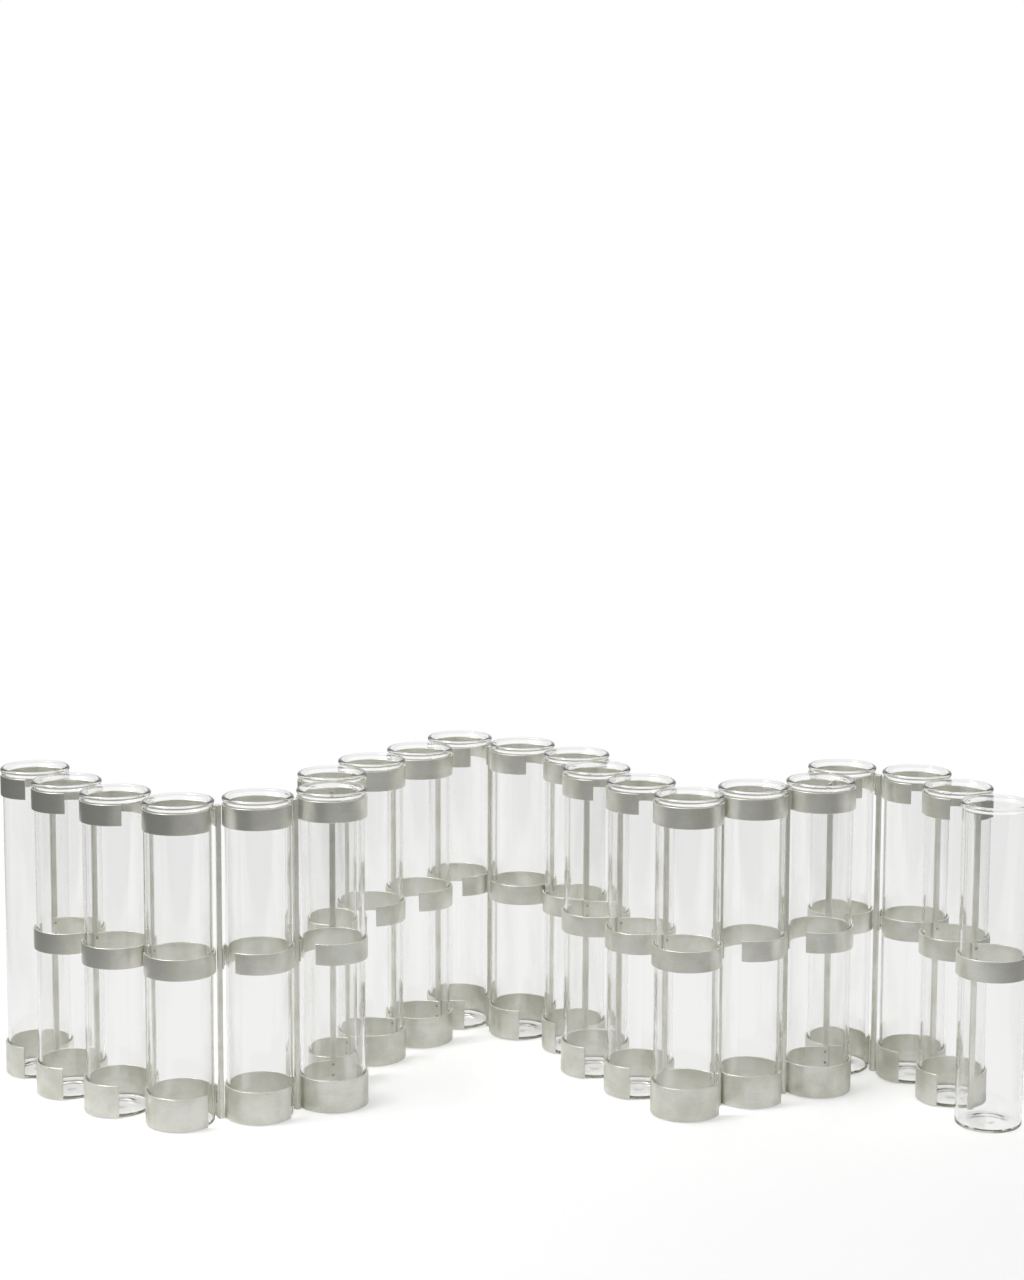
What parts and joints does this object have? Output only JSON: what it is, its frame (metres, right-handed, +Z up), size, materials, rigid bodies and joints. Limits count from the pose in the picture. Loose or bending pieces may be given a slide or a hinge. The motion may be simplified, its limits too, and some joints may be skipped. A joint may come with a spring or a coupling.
{
  "type": "test tube vase",
  "caption": "Row of clear glass flower tubes hinged on one another by zinc-plated steel bar-and-band brackets, so the row bends to any line and each tube lifts out.",
  "frame": {"origin": "middle of the standing row's box, on the table", "axes": "+X along the row to its right end, +Y away from the viewer, +Z up"},
  "size_m": [0.6324, 0.247, 0.1975],
  "materials": {
    "clear_glass": "clear, smooth, fire-polished lip",
    "zinc_plated_steel": "matt zinc plate, slightly warm grey"
  },
  "bodies": {
    "bracket_01": {"bracket_01": "zinc_plated_steel"},
    "bracket_02": {"bracket_02": "zinc_plated_steel"},
    "bracket_03": {"bracket_03": "zinc_plated_steel"},
    "bracket_04": {"bracket_04": "zinc_plated_steel"},
    "bracket_05": {"bracket_05": "zinc_plated_steel"},
    "bracket_06": {"bracket_06": "zinc_plated_steel"},
    "bracket_07": {"bracket_07": "zinc_plated_steel"},
    "bracket_08": {"bracket_08": "zinc_plated_steel"},
    "bracket_09": {"bracket_09": "zinc_plated_steel"},
    "bracket_10": {"bracket_10": "zinc_plated_steel"},
    "bracket_11": {"bracket_11": "zinc_plated_steel"},
    "bracket_12": {"bracket_12": "zinc_plated_steel"},
    "bracket_13": {"bracket_13": "zinc_plated_steel"},
    "bracket_14": {"bracket_14": "zinc_plated_steel"},
    "bracket_15": {"bracket_15": "zinc_plated_steel"},
    "bracket_16": {"bracket_16": "zinc_plated_steel"},
    "bracket_17": {"bracket_17": "zinc_plated_steel"},
    "bracket_18": {"bracket_18": "zinc_plated_steel"},
    "bracket_19": {"bracket_19": "zinc_plated_steel"},
    "bracket_20": {"bracket_20": "zinc_plated_steel"},
    "tube_01": {"tube_01": "clear_glass"},
    "tube_02": {"tube_02": "clear_glass"},
    "tube_03": {"tube_03": "clear_glass"},
    "tube_04": {"tube_04": "clear_glass"},
    "tube_05": {"tube_05": "clear_glass"},
    "tube_06": {"tube_06": "clear_glass"},
    "tube_07": {"tube_07": "clear_glass"},
    "tube_08": {"tube_08": "clear_glass"},
    "tube_09": {"tube_09": "clear_glass"},
    "tube_10": {"tube_10": "clear_glass"},
    "tube_11": {"tube_11": "clear_glass"},
    "tube_12": {"tube_12": "clear_glass"},
    "tube_13": {"tube_13": "clear_glass"},
    "tube_14": {"tube_14": "clear_glass"},
    "tube_15": {"tube_15": "clear_glass"},
    "tube_16": {"tube_16": "clear_glass"},
    "tube_17": {"tube_17": "clear_glass"},
    "tube_18": {"tube_18": "clear_glass"},
    "tube_19": {"tube_19": "clear_glass"},
    "tube_20": {"tube_20": "clear_glass"},
    "tube_21": {"tube_21": "clear_glass"}
  },
  "joints": [
    {"name": "hinge_tube_02", "type": "hinge", "parent": "bracket_02", "child": "bracket_01", "pos_m": [-0.26777, -0.04445, 0.09875], "axis": [0, 0, -1], "range_deg": [-137, 111]},
    {"name": "hinge_tube_03", "type": "hinge", "parent": "bracket_03", "child": "bracket_02", "pos_m": [-0.23267, -0.07719, 0.09875], "axis": [0, 0, 1], "range_deg": [-110, 136]},
    {"name": "hinge_tube_04", "type": "hinge", "parent": "bracket_04", "child": "bracket_03", "pos_m": [-0.19153, -0.10191, 0.09875], "axis": [0, 0, -1], "range_deg": [-171, 73]},
    {"name": "hinge_tube_05", "type": "hinge", "parent": "bracket_05", "child": "bracket_04", "pos_m": [-0.14538, -0.08868, 0.09875], "axis": [0, 0, 1], "range_deg": [-77, 135]},
    {"name": "hinge_tube_06", "type": "hinge", "parent": "bracket_06", "child": "bracket_05", "pos_m": [-0.10262, -0.06689, 0.09875], "axis": [0, 0, -1], "range_deg": [-182, 57]},
    {"name": "hinge_tube_07", "type": "hinge", "parent": "bracket_07", "child": "bracket_06", "pos_m": [-0.10597, -0.019, 0.09875], "axis": [0, 0, 1], "range_deg": [-116, 92]},
    {"name": "hinge_tube_08", "type": "hinge", "parent": "bracket_08", "child": "bracket_07", "pos_m": [-0.08343, 0.02338, 0.09875], "axis": [0, 0, -1], "range_deg": [-92, 134]},
    {"name": "hinge_tube_09", "type": "hinge", "parent": "bracket_09", "child": "bracket_08", "pos_m": [-0.05388, 0.0612, 0.09875], "axis": [0, 0, 1], "range_deg": [-118, 63]},
    {"name": "hinge_tube_10", "type": "hinge", "parent": "bracket_10", "child": "bracket_09", "pos_m": [-0.02844, 0.10191, 0.09875], "axis": [0, 0, -1], "range_deg": [-37, 211]},
    {"name": "hinge_tube_11", "type": "hinge", "parent": "bracket_10", "child": "bracket_11", "pos_m": [0.01354, 0.07864, 0.09875], "axis": [0, 0, -1], "range_deg": [-138, 57]},
    {"name": "hinge_tube_12", "type": "hinge", "parent": "bracket_11", "child": "bracket_12", "pos_m": [0.04864, 0.0459, 0.09875], "axis": [0, 0, 1], "range_deg": [-80, 157]},
    {"name": "hinge_tube_13", "type": "hinge", "parent": "bracket_12", "child": "bracket_13", "pos_m": [0.06026, -0.00067, 0.09875], "axis": [0, 0, -1], "range_deg": [-105, 126]},
    {"name": "hinge_tube_14", "type": "hinge", "parent": "bracket_13", "child": "bracket_14", "pos_m": [0.0864, -0.04093, 0.09875], "axis": [0, 0, 1], "range_deg": [-125, 82]},
    {"name": "hinge_tube_15", "type": "hinge", "parent": "bracket_14", "child": "bracket_15", "pos_m": [0.11324, -0.08072, 0.09875], "axis": [0, 0, -1], "range_deg": [-37, 169]},
    {"name": "hinge_tube_16", "type": "hinge", "parent": "bracket_15", "child": "bracket_16", "pos_m": [0.15438, -0.056, 0.09875], "axis": [0, 0, 1], "range_deg": [-117, 81]},
    {"name": "hinge_tube_17", "type": "hinge", "parent": "bracket_16", "child": "bracket_17", "pos_m": [0.19823, -0.03648, 0.09875], "axis": [0, 0, -1], "range_deg": [-81, 97]},
    {"name": "hinge_tube_18", "type": "hinge", "parent": "bracket_17", "child": "bracket_18", "pos_m": [0.21699, 0.00771, 0.09875], "axis": [0, 0, 1], "range_deg": [-36, 212]},
    {"name": "hinge_tube_19", "type": "hinge", "parent": "bracket_18", "child": "bracket_19", "pos_m": [0.2618, -0.00949, 0.09875], "axis": [0, 0, -1], "range_deg": [-171, 49]},
    {"name": "hinge_tube_20", "type": "hinge", "parent": "bracket_19", "child": "bracket_20", "pos_m": [0.27978, -0.054, 0.09875], "axis": [0, 0, 1], "range_deg": [-96, 128]},
    {"name": "lift_tube_01", "type": "slide", "parent": "bracket_01", "child": "tube_01", "axis": [0, 0, 1], "range_m": [0, 0.195]},
    {"name": "lift_tube_02", "type": "slide", "parent": "bracket_02", "child": "tube_02", "axis": [0, 0, 1], "range_m": [0, 0.195]},
    {"name": "lift_tube_03", "type": "slide", "parent": "bracket_03", "child": "tube_03", "axis": [0, 0, 1], "range_m": [0, 0.195]},
    {"name": "lift_tube_04", "type": "slide", "parent": "bracket_04", "child": "tube_04", "axis": [0, 0, 1], "range_m": [0, 0.195]},
    {"name": "lift_tube_05", "type": "slide", "parent": "bracket_05", "child": "tube_05", "axis": [0, 0, 1], "range_m": [0, 0.195]},
    {"name": "lift_tube_06", "type": "slide", "parent": "bracket_06", "child": "tube_06", "axis": [0, 0, 1], "range_m": [0, 0.195]},
    {"name": "lift_tube_07", "type": "slide", "parent": "bracket_07", "child": "tube_07", "axis": [0, 0, 1], "range_m": [0, 0.195]},
    {"name": "lift_tube_08", "type": "slide", "parent": "bracket_08", "child": "tube_08", "axis": [0, 0, 1], "range_m": [0, 0.195]},
    {"name": "lift_tube_09", "type": "slide", "parent": "bracket_09", "child": "tube_09", "axis": [0, 0, 1], "range_m": [0, 0.195]},
    {"name": "lift_tube_10", "type": "slide", "parent": "bracket_10", "child": "tube_10", "axis": [0, 0, 1], "range_m": [0, 0.195]},
    {"name": "lift_tube_11", "type": "slide", "parent": "bracket_11", "child": "tube_11", "axis": [0, 0, 1], "range_m": [0, 0.195]},
    {"name": "lift_tube_12", "type": "slide", "parent": "bracket_12", "child": "tube_12", "axis": [0, 0, 1], "range_m": [0, 0.195]},
    {"name": "lift_tube_13", "type": "slide", "parent": "bracket_13", "child": "tube_13", "axis": [0, 0, 1], "range_m": [0, 0.195]},
    {"name": "lift_tube_14", "type": "slide", "parent": "bracket_14", "child": "tube_14", "axis": [0, 0, 1], "range_m": [0, 0.195]},
    {"name": "lift_tube_15", "type": "slide", "parent": "bracket_15", "child": "tube_15", "axis": [0, 0, 1], "range_m": [0, 0.195]},
    {"name": "lift_tube_16", "type": "slide", "parent": "bracket_16", "child": "tube_16", "axis": [0, 0, 1], "range_m": [0, 0.195]},
    {"name": "lift_tube_17", "type": "slide", "parent": "bracket_17", "child": "tube_17", "axis": [0, 0, 1], "range_m": [0, 0.195]},
    {"name": "lift_tube_18", "type": "slide", "parent": "bracket_18", "child": "tube_18", "axis": [0, 0, 1], "range_m": [0, 0.195]},
    {"name": "lift_tube_19", "type": "slide", "parent": "bracket_19", "child": "tube_19", "axis": [0, 0, 1], "range_m": [0, 0.195]},
    {"name": "lift_tube_20", "type": "slide", "parent": "bracket_20", "child": "tube_20", "axis": [0, 0, 1], "range_m": [0, 0.195]},
    {"name": "lift_tube_21", "type": "slide", "parent": "bracket_20", "child": "tube_21", "axis": [0, 0, 1], "range_m": [0, 0.195]}
  ]
}
